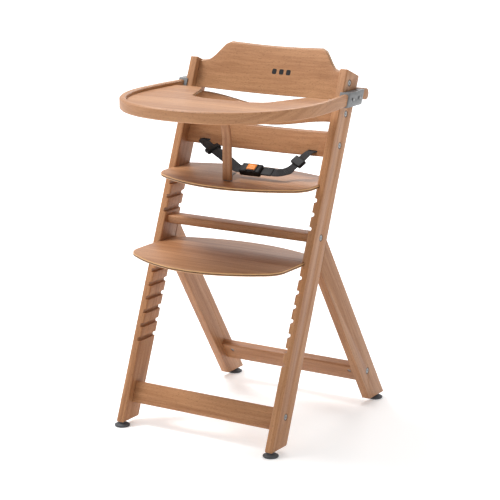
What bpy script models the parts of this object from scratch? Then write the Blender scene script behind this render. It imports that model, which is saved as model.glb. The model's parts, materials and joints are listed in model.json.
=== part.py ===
"""Wooden grow-along baby high chair with a lift-off tray and a lap harness.

Metres, +Z up, the chair faces -Y. The origin is on the floor, under the middle of the chair.
Each sub-part is one object with one closed body, and neighbours keep a gap of FIT.
"""

from math import atan, cos, pi, radians, sin, tan

import bpy
import bmesh
from mathutils import Matrix, Vector

# ---------------------------------------------------------------- driving dimensions
CHAIR_WIDTH = 0.445        # over the outer faces of the side frames
BOARD = 0.021              # thickness of the side frame boards
BOARD_WIDTH = 0.063        # width of posts and rear legs, across their grain
POST_LEAN = radians(21.8)  # posts lean back
LEG_LEAN = radians(33.5)   # rear legs slope forward
FLOOR_SPREAD = 0.494       # front edge of post to front edge of rear leg, at the floor
POST_TOP = 0.871           # highest corner of a post
BACK_TOP = 0.908           # highest point of the upper backrest
SEAT_TOP = 0.608
FOOTREST_TOP = 0.434
PLATE = 0.009              # plywood of the seat and footrest
SEAT_DEPTH = 0.262
FOOTREST_DEPTH = 0.310
SEAT_OVERHANG = 0.139      # seat in front of the posts, at its middle
FOOTREST_OVERHANG = 0.200
SLOT_PITCH = 0.032
SLOT_DEPTH = 0.008
SEAT_SLOTS = 4             # from the seat's own slot downwards
FOOTREST_SLOTS = 8
RAIL_THICK = 0.020
RAIL_WIDTH = 0.0535        # front and rear rails, across their grain
RAIL_RISE = 0.076          # middle of the front rail above the floor
REAR_RAIL_RISE = 0.083
SHELF_RAIL_DEPTH = 0.042   # the rail between seat and footrest lies flat
SHELF_RAIL_Z = 0.484
SLAT = 0.012               # plywood of the backrest slats
TRAY_TOP = 0.814           # top of the tray's rim
TRAY_OVERHANG = 0.028      # the rim, past the side frames at its widest
ARM_OVERHANG = 0.0175      # the rim's arms, past the side frames at their ends
TRAY_DEPTH = 0.400         # front of the rim to the front edge of the posts
RIM_HEIGHT = 0.028
RIM_THICK = 0.015
TRAY_RECESS = 0.009        # tray panel below the rim's top
TRAY_PANEL = 0.008
STEEL = 0.0018
ROD_D = 0.028
CROTCH_WIDTH = 0.022
CROTCH_THICK = 0.008
GLIDE_D = 0.038
GLIDE_HEIGHT = 0.012       # floor to the underside of the wood
BOLT_D = 0.006
BOLT_HEAD_D = 0.013
BOLT_HEAD = 0.0035
BOLT_LENGTH = 0.060
SLAT_BOLT_LENGTH = 0.033   # shorter, because the slats bend away
DOWEL_D = 0.008
DOWEL_LENGTH = 0.032
WEBBING = 0.025
WEBBING_THICK = 0.0016
FIT = 0.0003               # gap between touching pieces
SLIDE_FIT = 0.0006         # gap round a plate in its slot
EDGE = 0.003               # rounding of the solid wood edges

# ---------------------------------------------------------------- derived places
HALF = CHAIR_WIDTH / 2
INNER = HALF - BOARD
TRAY_HALF = HALF + TRAY_OVERHANG
ARM_HALF = HALF + ARM_OVERHANG
K = tan(POST_LEAN)
LEG_K = tan(LEG_LEAN)
POST_RUN = BOARD_WIDTH / cos(POST_LEAN)   # width of a post along the floor
LEG_RUN = BOARD_WIDTH / cos(LEG_LEAN)
RIM_BOTTOM = TRAY_TOP - RIM_HEIGHT
PANEL_TOP = TRAY_TOP - TRAY_RECESS
REAR_REACH = FLOOR_SPREAD + LEG_RUN - LEG_K * GLIDE_HEIGHT
TRAY_REACH = TRAY_DEPTH - K * TRAY_TOP
FOOT_FRONT = (TRAY_REACH - REAR_REACH) / 2   # y of the posts' front edge at the floor


def post_y(z, back=0.0):
    """y at height z on the line that runs `back` behind the posts' front edge."""
    return FOOT_FRONT + K * z + back


def leg_y(z, back=0.0):
    """y at height z on the line that runs `back` behind the rear legs' front edge."""
    return FOOT_FRONT + FLOOR_SPREAD - LEG_K * z + back


UP = Vector((0, sin(POST_LEAN), cos(POST_LEAN)))          # along the posts
BACK = Vector((0, cos(POST_LEAN), -sin(POST_LEAN)))       # through the posts
LEG_UP = Vector((0, -sin(LEG_LEAN), cos(LEG_LEAN)))
LEG_BACK = Vector((0, cos(LEG_LEAN), sin(LEG_LEAN)))

BEECH = (0.62, 0.36, 0.20)


# ---------------------------------------------------------------- scene and materials
def clear_scene():
    for obj in list(bpy.data.objects):
        bpy.data.objects.remove(obj)


def make_material(name, colour, roughness, metallic=0.0):
    made = bpy.data.materials.new(name)
    made.use_nodes = True
    shader = made.node_tree.nodes["Principled BSDF"]
    shader.inputs["Base Color"].default_value = (*colour, 1)
    shader.inputs["Roughness"].default_value = roughness
    shader.inputs["Metallic"].default_value = metallic
    return made


# ---------------------------------------------------------------- mesh helpers
def link_object(name, mesh, material=None):
    obj = bpy.data.objects.new(name, mesh)
    bpy.context.scene.collection.objects.link(obj)
    if material:
        own = material.copy()
        own.name = name
        mesh.materials.append(own)
    return obj


def from_bmesh(name, bm, material=None):
    bmesh.ops.recalc_face_normals(bm, faces=bm.faces)
    mesh = bpy.data.meshes.new(name)
    bm.to_mesh(mesh)
    bm.free()
    return link_object(name, mesh, material)


def prism(name, outline, axis, low, high, material=None):
    """Extrudes a closed outline along an axis. Its points are (y, z) for X, (x, z) for Y and (x, y) for Z."""
    place = {
        "X": lambda a, b, t: (t, a, b),
        "Y": lambda a, b, t: (a, t, b),
        "Z": lambda a, b, t: (a, b, t),
    }[axis]
    bm = bmesh.new()
    face = bm.faces.new([bm.verts.new(place(a, b, low)) for a, b in outline])
    grown = bmesh.ops.extrude_face_region(bm, geom=[face])["geom"]
    shift = Vector(place(0, 0, high)) - Vector(place(0, 0, low))
    bmesh.ops.translate(bm, vec=shift, verts=[v for v in grown if isinstance(v, bmesh.types.BMVert)])
    return from_bmesh(name, bm, material)


def loft(name, rings, material=None):
    """Joins equal rings of points with quads and closes both ends."""
    bm = bmesh.new()
    made = [[bm.verts.new(p) for p in ring] for ring in rings]
    count = len(rings[0])
    for a, b in zip(made, made[1:]):
        for i in range(count):
            j = (i + 1) % count
            bm.faces.new((a[i], a[j], b[j], b[i]))
    bm.faces.new(made[0])
    bm.faces.new(list(reversed(made[-1])))
    return from_bmesh(name, bm, material)


def turned(name, start, direction, stations, sides, material=None):
    """A solid of rotation: stations are (distance along direction, radius)."""
    direction = Vector(direction).normalized()
    side = direction.orthogonal().normalized()
    other = direction.cross(side)
    rings = []
    for along, radius in stations:
        middle = Vector(start) + direction * along
        rings.append([
            middle + radius * (side * cos(2 * pi * i / sides) + other * sin(2 * pi * i / sides))
            for i in range(sides)
        ])
    return loft(name, rings, material)


def rod(name, start, direction, length, diameter, sides=12, material=None):
    return turned(name, start, direction, [(0, diameter / 2), (length, diameter / 2)], sides, material)


def joined(name, objects, material=None):
    """Several separate solids in one object."""
    bm = bmesh.new()
    for obj in objects:
        bm.from_mesh(obj.data)
        bpy.data.objects.remove(obj)
    return from_bmesh(name, bm, material)


def soften(obj, width=EDGE, segments=2, angle=35):
    bevel = obj.modifiers.new("rounded_edges", "BEVEL")
    bevel.width = width
    bevel.segments = segments
    bevel.limit_method = "ANGLE"
    bevel.angle_limit = radians(angle)
    return obj


def cut(obj, cutter, operation="DIFFERENCE"):
    boolean = obj.modifiers.new(cutter.name, "BOOLEAN")
    boolean.operation = operation
    boolean.object = cutter
    cutter.hide_render = True
    cutter.display_type = "WIRE"
    return obj


def filleted(points, steps=4):
    """Rounds a closed outline. Its points are (a, b, radius)."""
    made = []
    count = len(points)
    for i, (a, b, radius) in enumerate(points):
        here = Vector((a, b))
        before = Vector(points[i - 1][:2])
        after = Vector(points[(i + 1) % count][:2])
        if radius <= 0:
            made.append((a, b))
            continue
        to_before = (before - here).normalized()
        to_after = (after - here).normalized()
        half_angle = to_before.angle(to_after) / 2
        room = 0.45 * min((before - here).length, (after - here).length)
        reach = min(radius / tan(half_angle), room)
        radius = reach * tan(half_angle)
        centre = here + (to_before + to_after).normalized() * (radius / sin(half_angle))
        start = here + to_before * reach - centre
        end = here + to_after * reach - centre
        turn = start.angle_signed(end)
        for step in range(steps + 1):
            part = -turn * step / steps
            made.append((
                centre.x + start.x * cos(part) - start.y * sin(part),
                centre.y + start.x * sin(part) + start.y * cos(part),
            ))
    return made


# ---------------------------------------------------------------- fixing places
def rail_fixings():
    """name: (y, z) of each bolt on the side frames' outer faces."""
    third = RAIL_WIDTH / 6
    front = Vector((0, post_y(RAIL_RISE, POST_RUN / 2), RAIL_RISE)) + UP * third
    rear = Vector((0, leg_y(REAR_RAIL_RISE, LEG_RUN / 2), REAR_RAIL_RISE)) + LEG_UP * third
    return {
        "front_rail": (front.y, front.z),
        "rear_rail": (rear.y, rear.z),
        "shelf_rail": (post_y(SHELF_RAIL_Z, POST_RUN / 2), SHELF_RAIL_Z),
        "upper_backrest": (slat_y(UPPER, INNER - 0.006, UPPER["bolt"]), UPPER["bolt"]),
        "middle_backrest": (slat_y(MIDDLE, INNER - 0.006, MIDDLE["bolt"]), MIDDLE["bolt"]),
        "lower_backrest": (slat_y(LOWER, INNER - 0.006, LOWER["bolt"]), LOWER["bolt"]),
    }


# A slat runs between the posts. `back` is its front face behind the posts' front edge at its ends,
# `bow` is how much further back its middle is, and low and high are its edges' heights by x.
def upper_low(x):
    return BACK_TOP - 0.117 + 0.006 * (x / INNER) ** 2


def upper_high(x):
    """A crown that dips a little in its middle, an S-curve down and a low shoulder at each post."""
    crown, shoulder = 0.655 * INNER, 0.918 * INNER
    if abs(x) <= crown:
        return BACK_TOP - 0.0045 * cos(pi / 2 * abs(x) / crown)
    part = min((abs(x) - crown) / (shoulder - crown), 1) ** 0.9
    outward = max(0, abs(x) - shoulder) / (INNER - shoulder)
    return BACK_TOP - 0.0455 * part * part * (3 - 2 * part) - 0.002 * outward


def middle_low(x):
    return 0.720 + 0.0115 * (1 - cos(pi * x / INNER))


def lower_low(x):
    return 0.659 + 0.005 * (x / INNER) ** 2


UPPER = {"back": 0.017, "bow": 0.017, "low": upper_low, "high": upper_high, "bolt": 0.836}
MIDDLE = {
    "back": 0.030, "bow": 0.014, "low": middle_low, "high": lambda x: middle_low(x) + 0.042, "bolt": 0.764,
}
LOWER = {"back": 0.030, "bow": 0.014, "low": lower_low, "high": lambda x: lower_low(x) + 0.057, "bolt": 0.692}
SLAT_RUN = SLAT / cos(POST_LEAN)
BUCKLE_TILT = radians(32)  # its top leans forwards
HARNESS_SLOT_X = INNER - 0.0485
HARNESS_SLOT_Z = SEAT_TOP + 0.065


def slat_back(slat, x):
    return slat["back"] + slat["bow"] * (1 - (x / INNER) ** 2)


def slat_y(slat, x, z):
    """y of the middle of a slat's thickness."""
    return post_y(z, slat_back(slat, x) + SLAT_RUN / 2)


# ---------------------------------------------------------------- side frames
def slot_heights():
    """Middle heights of all the slots in a post, highest first."""
    seat = [SEAT_TOP - PLATE / 2 - SLOT_PITCH * i for i in range(SEAT_SLOTS)]
    feet = [FOOTREST_TOP - PLATE / 2 - SLOT_PITCH * i for i in range(FOOTREST_SLOTS)]
    return seat + feet


def slotted_profile(side, bottom, top):
    """A post seen from the front: a board with slots in its inner face, their inner corners chamfered."""
    half = PLATE / 2 + SLIDE_FIT
    ease = 0.002
    floor = INNER + SLOT_DEPTH
    outline = [(HALF, bottom), (HALF, top), (INNER, top)]
    for z in slot_heights():
        outline += [
            (INNER, z + half), (floor - ease, z + half), (floor, z + half - ease),
            (floor, z - half + ease), (floor - ease, z - half), (INNER, z - half),
        ]
    outline.append((INNER, bottom))
    return [(side * x, z) for x, z in outline]


def add_post(side, wood):
    """A leaning board, sheared back as it rises, its top cut square to the board."""
    drop = BOARD_WIDTH * sin(POST_LEAN)
    profile = slotted_profile(side, GLIDE_HEIGHT, POST_TOP)
    front = [(x, post_y(z), z) for x, z in profile]
    rear = []
    for x, z in profile:
        z -= drop if z == POST_TOP else 0
        rear.append((x, post_y(z, POST_RUN), z))
    return loft(f"{SIDES[side]}_post", [front, rear], wood)


def add_rear_leg(side, wood):
    """A board that slopes forward and ends against the post's rear edge."""
    post_rear = post_y(0, POST_RUN + FIT / cos(POST_LEAN))
    low = (leg_y(0) - post_rear) / (K + LEG_K)
    high = (leg_y(0, LEG_RUN) - post_rear) / (K + LEG_K)
    foot = GLIDE_HEIGHT
    outline = [
        (leg_y(foot), foot), (leg_y(foot, LEG_RUN), foot),
        (leg_y(high, LEG_RUN), high), (leg_y(low), low),
    ]
    ends = sorted((side * INNER, side * HALF))
    return prism(f"{SIDES[side]}_rear_leg", outline, "X", *ends, material=wood)


def add_glide(name, x, y, material):
    """A dished foot on a short neck, pushed up against the wood."""
    r = GLIDE_D / 2
    stations = [
        (0, r - 0.002), (0.0015, r), (0.0045, r), (0.0075, r * 0.72),
        (0.009, r * 0.45), (GLIDE_HEIGHT - FIT, r * 0.45),
    ]
    return turned(name, (x, y, 0), (0, 0, 1), stations, 24, material)


# ---------------------------------------------------------------- rails and slats
def rail_section(middle_y, middle_z, across, through, width, thick):
    ends = []
    for a, b in ((-1, -1), (1, -1), (1, 1), (-1, 1)):
        p = Vector((0, middle_y, middle_z)) + across * (a * width / 2) + through * (b * thick / 2)
        ends.append((p.y, p.z))
    return filleted([(y, z, EDGE) for y, z in ends], 2)


def add_rail(name, section, wood):
    half = INNER - FIT
    return prism(name, section, "X", -half, half, material=wood)


def add_slat(name, slat, wood, columns=36):
    """A bent board between the posts, its edges following the slat's outlines."""
    half = INNER - FIT
    ease = 0.002
    rings = []
    for i in range(columns + 1):
        x = -half * cos(pi * i / columns)
        low, high, back = slat["low"](x), slat["high"](x), slat_back(slat, x)
        rings.append([
            (x, post_y(z, back + deep), z)
            for z, deep in (
                (low + ease, 0), (high - ease, 0), (high, ease), (high, SLAT_RUN - ease),
                (high - ease, SLAT_RUN), (low + ease, SLAT_RUN), (low, SLAT_RUN - ease), (low, ease),
            )
        ])
    return loft(name, rings, wood)


# ---------------------------------------------------------------- seat and footrest
def plate_outline(front, bulge, rear_side, rear_rise, corner):
    """The front is an arc of radius bulge with its corners rounded off, and the rear is bowed backwards."""
    half = INNER + SLOT_DEPTH - 0.001
    reach = half - corner
    slope = 0
    for _ in range(8):
        slope = atan((reach + corner * sin(slope)) / bulge)
    end = reach + corner * sin(slope)
    middle = front + end * end / (2 * bulge) + corner * cos(slope)
    outline = [(half, rear_side)]
    for i in range(9):
        turn = (pi / 2 - slope) * i / 8
        outline.append((reach + corner * cos(turn), middle - corner * sin(turn)))
    for i in range(1, 16):
        x = end * (1 - i / 8)
        outline.append((x, front + x * x / (2 * bulge)))
    outline += [(-x, y) for x, y in reversed(outline[:10])]
    for i in range(1, 12):
        x = -half * (1 - i / 6)
        outline.append((x, rear_side + rear_rise * (1 - (x / half) ** 2)))
    return outline


def add_plate(name, top, depth, overhang, bulge, corner, wood):
    front = post_y(top) - overhang
    rear_rise = 0.049
    outline = plate_outline(front, bulge, front + depth - rear_rise, rear_rise, corner)
    plate = prism(name, outline, "Z", top - PLATE, top, wood)
    return soften(plate, 0.0015, 1, 60)


# ---------------------------------------------------------------- tray
def tray_front_outline(inset, steps=40):
    """The rim's line from its left arm round the front to its right arm, moved in by inset."""
    arm_end = post_y(TRAY_TOP) - 0.003
    middle = tray_middle()
    wide = TRAY_HALF - inset
    deep = TRAY_DEPTH - (post_y(TRAY_TOP) - middle) - inset
    end_wide = ARM_HALF - inset
    line = [(-end_wide, arm_end), (-end_wide - (wide - end_wide) * 0.75, middle + (arm_end - middle) * 0.45)]
    for i in range(steps + 1):
        turn = pi * i / steps
        c, s = cos(turn), sin(turn)
        x = -wide * (abs(c) ** (2 / 2.3)) * (1 if c >= 0 else -1)
        y = middle - deep * abs(s) ** (2 / 2.3)
        line.append((x, y))
    line += [(-x, y) for x, y in reversed(line[:2])]
    return line


def tray_middle():
    """y of the tray's widest place."""
    return post_y(TRAY_TOP) - 0.142



def add_tray_rim(wood):
    """A bent strip of wood round the tray, its arms ending in front of the posts."""
    outer = tray_front_outline(0)
    inner = tray_front_outline(RIM_THICK)
    ease = 0.003
    rings = []
    for (ox, oy), (ix, iy) in zip(outer, inner):
        def at(part, z):
            y = oy + (iy - oy) * part
            if oy > post_y(TRAY_TOP) - 0.004:
                y -= K * (TRAY_TOP - z)
            return (ox + (ix - ox) * part, y, z)
        part = ease / RIM_THICK
        rings.append([
            at(0, RIM_BOTTOM + ease), at(0, TRAY_TOP - ease), at(part, TRAY_TOP), at(1 - part, TRAY_TOP),
            at(1, TRAY_TOP - ease), at(1, RIM_BOTTOM + ease), at(1 - part, RIM_BOTTOM), at(part, RIM_BOTTOM),
        ])
    return loft("tray_rim", rings, wood)


def add_tray_panel(wood):
    """The tray's flat panel inside the rim, hollowed at the rear for the child."""
    front = tray_front_outline(RIM_THICK + FIT)[2:-2]
    rear = tray_middle() + 0.110
    hollow = tray_middle() - 0.030
    side = ARM_HALF - RIM_THICK - FIT - 0.001
    lobe = [
        (side, rear - 0.004, 0.020), (0.152, rear, 0.030), (0.137, rear - 0.036, 0.015),
        (0.104, hollow + 0.018, 0.030), (0.060, hollow, 0.020),
    ]
    back = filleted([(0.300, 0, 0)] + lobe + [(-x, y, r) for x, y, r in reversed(lobe)] + [(-0.300, 0, 0)], 5)
    outline = front + back[1:-1]
    return prism("tray_panel", outline, "Z", PANEL_TOP - TRAY_PANEL, PANEL_TOP, wood)


def swept_strip(name, line, half_width, thick, material):
    """A bent strip standing in the YZ plane: its middle line is (y, z), its width lies along X."""
    rings = []
    count = len(line)
    for i, (y, z) in enumerate(line):
        before, after = line[max(i - 1, 0)], line[min(i + 1, count - 1)]
        along = Vector((after[0] - before[0], after[1] - before[1])).normalized()
        across = Vector((-along.y, along.x)) * thick / 2
        w = half_width(i / (count - 1))
        rings.append([
            (-w, y + across.x, z + across.y), (w, y + across.x, z + across.y),
            (w, y - across.x, z - across.y), (-w, y - across.x, z - across.y),
        ])
    return loft(name, rings, material)


def divider_line():
    """Straight up from above the seat, forwards in a long bend, then level under the panel."""
    y, foot = divider_y(), SEAT_TOP + 0.003
    head = PANEL_TOP - TRAY_PANEL - FIT - DIVIDER / 2
    long_bend, short_bend, slope = 0.150, 0.014, radians(38)
    start = head - short_bend * (1 - sin(slope)) - long_bend * sin(slope)
    line = [(y, foot), (y, (foot + start) / 2), (y, start)]
    for i in range(1, 7):
        turn = slope * i / 6
        line.append((y - long_bend * (1 - cos(turn)), start + long_bend * sin(turn)))
    edge_y = line[-1][0]
    for i in range(1, 6):
        turn = slope + (pi / 2 - slope) * i / 5
        line.append((edge_y - short_bend * (cos(slope) - cos(turn)), head - short_bend * (1 - sin(turn))))
    line.append((line[-1][0] - 0.030, head))
    return line


DIVIDER = 0.008


def divider_y():
    return tray_middle() - 0.018


def bracket_line(side):
    """The folded strip seen from above, as (x, distance behind the post's front edge)."""
    front = -0.0008 - STEEL
    rear = POST_RUN + 0.0022
    out = ARM_HALF + 0.0012
    hook = HALF - 0.006
    line = [(hook, front, 0), (out + STEEL, front, 0.004), (out + STEEL, rear + STEEL, 0.004)]
    line += [(hook, rear + STEEL, 0), (hook, rear, 0), (out, rear, 0.0022)]
    line += [(out, front + STEEL, 0.0022), (hook, front + STEEL, 0)]
    return [(side * x, y) for x, y in filleted(line, 3)]


def add_bracket(side, steel):
    """A steel strip that hooks over the post's outer edges, with a flange over the gap beside the post."""
    low, high = TRAY_TOP - 0.030, TRAY_TOP + 0.004
    line = bracket_line(side)
    rings = [[(x, post_y(z, y), z) for x, y in line] for z in (low, high)]
    bracket = loft(f"{SIDES[side]}_bracket", rings, steel)
    out = ARM_HALF + 0.0012 + STEEL / 2
    inner = HALF + 0.0025
    front, rear = -0.0008 - STEEL / 2, POST_RUN + 0.0022 + STEEL / 2
    corners = [(side * x, y) for x, y in ((inner, front), (out, front), (out, rear), (inner, rear))]
    flange = loft(f"{SIDES[side]}_flange", [
        [(x, post_y(z, y), z) for x, y in corners] for z in (high - STEEL, high - 0.00005)
    ])
    return cut(bracket, flange, "UNION")


def add_spacer(side, plastic):
    """A plastic block between the bracket and the post's outer face."""
    low, high = TRAY_TOP - 0.026, TRAY_TOP + 0.004 - STEEL - FIT
    inner, outer = HALF + 0.0005, ARM_HALF + 0.0012 - FIT
    corners = filleted([
        (inner, 0.009, 0.002), (outer, 0.009, 0.002), (outer, POST_RUN - 0.006, 0.002),
        (inner, POST_RUN - 0.006, 0.002),
    ], 2)
    rings = [[(side * x, post_y(z, y), z) for x, y in corners] for z in (low, high)]
    return loft(f"{SIDES[side]}_spacer", rings, plastic)


def rod_place():
    """(y, z) of the rod's middle: it bears on the rear webs of the brackets."""
    z = TRAY_TOP - 0.009
    back = POST_RUN + 0.0022 + STEEL + (FIT + ROD_D / 2) / cos(POST_LEAN)
    return post_y(z, back), z


# ---------------------------------------------------------------- bolts and screws
def add_bolt(name, side, y, z, steel, length=BOLT_LENGTH):
    """A socket bolt: its head is sunk in the board and its shank reaches into the rail."""
    start = Vector((side * (HALF - 0.0002), y, z))
    inward = (-side, 0, 0)
    stations = [
        (0, BOLT_HEAD_D / 2 - 0.0006), (0.0006, BOLT_HEAD_D / 2), (BOLT_HEAD, BOLT_HEAD_D / 2),
        (BOLT_HEAD, BOLT_D / 2), (length, BOLT_D / 2),
    ]
    bolt = turned(name, start, inward, stations, 18, steel)
    socket = turned(
        f"{name}_socket", start - Vector(inward) * 0.001, inward, [(0, 0.0023), (0.0032, 0.0023)], 6
    )
    return cut(bolt, socket)


def bolt_bore(side, y, z, length=BOLT_LENGTH):
    """Room for a bolt with FIT all round."""
    out = side * (HALF + 0.002)
    seat = 0.0022 + BOLT_HEAD + FIT
    return turned("bore", (out, y, z), (-side, 0, 0), [
        (0, BOLT_HEAD_D / 2 + FIT), (seat, BOLT_HEAD_D / 2 + FIT),
        (seat, BOLT_D / 2 + FIT), (0.002 + length + 0.001, BOLT_D / 2 + FIT),
    ], 18)


def add_screw(name, start, direction, length, steel, head_d=0.0076, head=0.0020, shank_d=0.0034):
    """A low-headed screw: start is the top of its head."""
    stations = [(0, head_d / 2 - 0.0006), (0.0006, head_d / 2), (head, head_d / 2)]
    stations += [(head, shank_d / 2), (length, shank_d / 2)]
    return turned(name, start, direction, stations, 12, steel)


def screw_bore(start, direction, length, shank_d=0.0034):
    direction = Vector(direction).normalized()
    return rod("bore", Vector(start) - direction * 0.001, direction, length + 0.0015, shank_d + 2 * FIT)


# ---------------------------------------------------------------- harness
def smooth_line(points, between=4):
    """A Catmull-Rom curve through tuples of any length."""
    made = []
    last = len(points) - 1
    for i in range(last):
        p0, p1, p2, p3 = (points[min(max(j, 0), last)] for j in (i - 1, i, i + 1, i + 2))
        for step in range(between):
            t = step / between
            made.append(tuple(
                0.5 * (2 * b + (c - a) * t + (2 * a - 5 * b + 4 * c - d) * t * t
                       + (3 * b - a - 3 * c + d) * t ** 3)
                for a, b, c, d in zip(p0, p1, p2, p3)
            ))
    made.append(points[-1])
    return made


def add_strap(name, points, width, material, thick=WEBBING_THICK):
    """Webbing along points of (x, y, z, tilt): tilt turns its width about the line, from level."""
    line = smooth_line(points)
    rings = []
    for i, (x, y, z, tilt) in enumerate(line):
        before, after = line[max(i - 1, 0)], line[min(i + 1, len(line) - 1)]
        along = (Vector(after[:3]) - Vector(before[:3])).normalized()
        level = along.cross(Vector((0, 0, 1))).normalized()
        across = level * cos(tilt) + along.cross(level) * sin(tilt)
        out = along.cross(across).normalized()
        here = Vector((x, y, z))
        rings.append([
            here + across * (a * width / 2) + out * (b * thick / 2)
            for a, b in ((-1, -1), (1, -1), (1, 1), (-1, 1))
        ])
    return loft(name, rings, material)


def box(name, size, middle, material=None, turn=None):
    bpy.ops.mesh.primitive_cube_add(size=1)
    obj = bpy.context.object
    obj.name = name
    place = Matrix.Translation(Vector(middle)) @ (turn.to_4x4() if turn else Matrix())
    obj.data.transform(place @ Matrix.Diagonal((*size, 1)))
    if material:
        own = material.copy()
        own.name = name
        obj.data.materials.append(own)
    return obj


def strap_ends():
    """Places of the harness, from the slots in the lower slat down to the buckle."""
    slat_front = post_y(HARNESS_SLOT_Z, slat_back(LOWER, HARNESS_SLOT_X))
    buckle_y = slat_front - 0.082
    return slat_front, buckle_y


def add_harness(webbing, plastic, button_plastic):
    slat_front, by = strap_ends()
    z = HARNESS_SLOT_Z
    bz = SEAT_TOP + 0.021
    behind = SLAT_RUN + 0.010
    x = HARNESS_SLOT_X
    add_strap("left_strap", [
        (-x, slat_front + behind, z + 0.001, 0), (-x, slat_front, z, 0),
        (-x + 0.004, slat_front - 0.010, z - 0.002, 0.1),
        (-0.732 * x, slat_front - 0.034, z - 0.012, 0.35), (-0.556 * x, slat_front - 0.050, z - 0.016, 0.5),
        (-0.294 * x, by + 0.016, bz + 0.014, 0.55), (-0.010, by + 0.001, bz + 0.001, 0.56),
        (0.0025, by, bz, 0.56),
    ], WEBBING, webbing)
    add_strap("right_strap", [
        (x, slat_front + behind, z + 0.001, 0), (x, slat_front, z, 0),
        (x - 0.004, slat_front - 0.012, z - 0.002, -0.1),
        (0.882 * x, slat_front - 0.036, z - 0.022, -0.35), (0.784 * x, slat_front - 0.052, z - 0.040, -0.4),
        (0.1131, by + 0.010, bz + 0.001, -0.5), (0.1040, by, bz, -0.56), (0.0970, by, bz, -0.56),
    ], WEBBING, webbing)
    add_strap("crotch_strap", [
        (-0.004, by - 0.048, SEAT_TOP + 0.0045, 0), (-0.006, by - 0.040, bz - 0.013, 0),
        (-0.008, by - 0.030, bz - 0.009, 0), (-0.010, by - 0.0180, bz - 0.008, 0),
    ], CROTCH_WIDTH, webbing, 0.0022)

    turn = Matrix.Rotation(BUCKLE_TILT, 3, "X")

    def seat_on_buckle(x, z):
        return Vector((x, by, bz)) + turn @ Vector((0, 0, z))

    body = box("buckle_body", (0.058, 0.030, 0.017), seat_on_buckle(0.033, 0), plastic, turn)
    soften(body, 0.004, 2)
    cut(body, box("buckle_well", (0.0246, 0.0186, 0.009), seat_on_buckle(0.036, 0.0065), None, turn))
    button = box("buckle_button", (0.024, 0.018, 0.0080), seat_on_buckle(0.036, 0.0076), button_plastic, turn)
    soften(button, 0.0015, 2)
    tongue = box("buckle_tongue", (0.030, 0.027, 0.0045), seat_on_buckle(0.0775, 0), plastic, turn)
    soften(tongue, 0.0015, 1)

    for side in SIDES:
        strap = bpy.data.objects[f"{SIDES[side]}_strap"]
        add_adjuster(side, strap, plastic)


def add_adjuster(side, strap, plastic):
    """A slide buckle round the strap, placed on it about a third of the way down."""
    here = 13 if side < 0 else 12
    ring = [strap.data.vertices[4 * here + i].co.copy() for i in range(4)]
    after = [strap.data.vertices[4 * (here + 1) + i].co.copy() for i in range(4)]
    before = [strap.data.vertices[4 * (here - 1) + i].co.copy() for i in range(4)]
    middle = sum(ring, Vector()) / 4
    across = (ring[1] - ring[0]).normalized()
    along = (sum(after, Vector()) - sum(before, Vector())).normalized()
    out = along.cross(across).normalized()
    turn = Matrix((along, across, out)).transposed()
    frame = box(f"{SIDES[side]}_adjuster", (0.022, 0.037, 0.0098), middle, plastic, turn)
    soften(frame, 0.0018, 1)
    return cut(frame, box(f"{SIDES[side]}_adjuster_slot", (0.030, 0.0284, 0.0060), middle, None, turn))


# ---------------------------------------------------------------- assembly
SIDES = {-1: "left", 1: "right"}


def add_frame(wood, ply, glide, steel):
    posts = {side: add_post(side, wood) for side in SIDES}
    legs = {side: add_rear_leg(side, wood) for side in SIDES}
    front = rail_section(post_y(RAIL_RISE, POST_RUN / 2), RAIL_RISE, UP, BACK, RAIL_WIDTH, RAIL_THICK)
    rear = rail_section(
        leg_y(REAR_RAIL_RISE, LEG_RUN / 2), REAR_RAIL_RISE, LEG_UP, LEG_BACK, RAIL_WIDTH, RAIL_THICK
    )
    shelf = rail_section(
        post_y(SHELF_RAIL_Z, POST_RUN / 2), SHELF_RAIL_Z, Vector((0, 1, 0)), Vector((0, 0, 1)),
        SHELF_RAIL_DEPTH, RAIL_THICK,
    )
    parts = {
        "front_rail": add_rail("front_rail", front, wood),
        "rear_rail": add_rail("rear_rail", rear, wood),
        "shelf_rail": add_rail("shelf_rail", shelf, wood),
        "upper_backrest": add_slat("upper_backrest", UPPER, ply),
        "middle_backrest": add_slat("middle_backrest", MIDDLE, ply),
        "lower_backrest": add_slat("lower_backrest", LOWER, ply),
    }
    for side, label in SIDES.items():
        x = side * (HALF - BOARD / 2)
        add_glide(f"{label}_front_glide", x, post_y(GLIDE_HEIGHT, 0.012), glide)
        add_glide(f"{label}_rear_glide", x, leg_y(GLIDE_HEIGHT, LEG_RUN - 0.026), glide)
        bores = {}
        for name, (y, z) in rail_fixings().items():
            length = SLAT_BOLT_LENGTH if name.endswith("backrest") else BOLT_LENGTH
            add_bolt(f"{label}_{name}_bolt", side, y, z, steel, length)
            bores[name] = bolt_bore(side, y, z, length)
        leg_bore = joined(f"{label}_leg_bores", [bores.pop("rear_rail")])
        post_bores = joined(f"{label}_post_bores", list(bores.values()))
        cut(posts[side], post_bores)
        cut(legs[side], leg_bore)
        for name, rail in parts.items():
            cut(rail, leg_bore if name == "rear_rail" else post_bores)
    add_dowels(posts, legs, parts, wood)
    add_harness_slots(parts["lower_backrest"])


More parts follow.
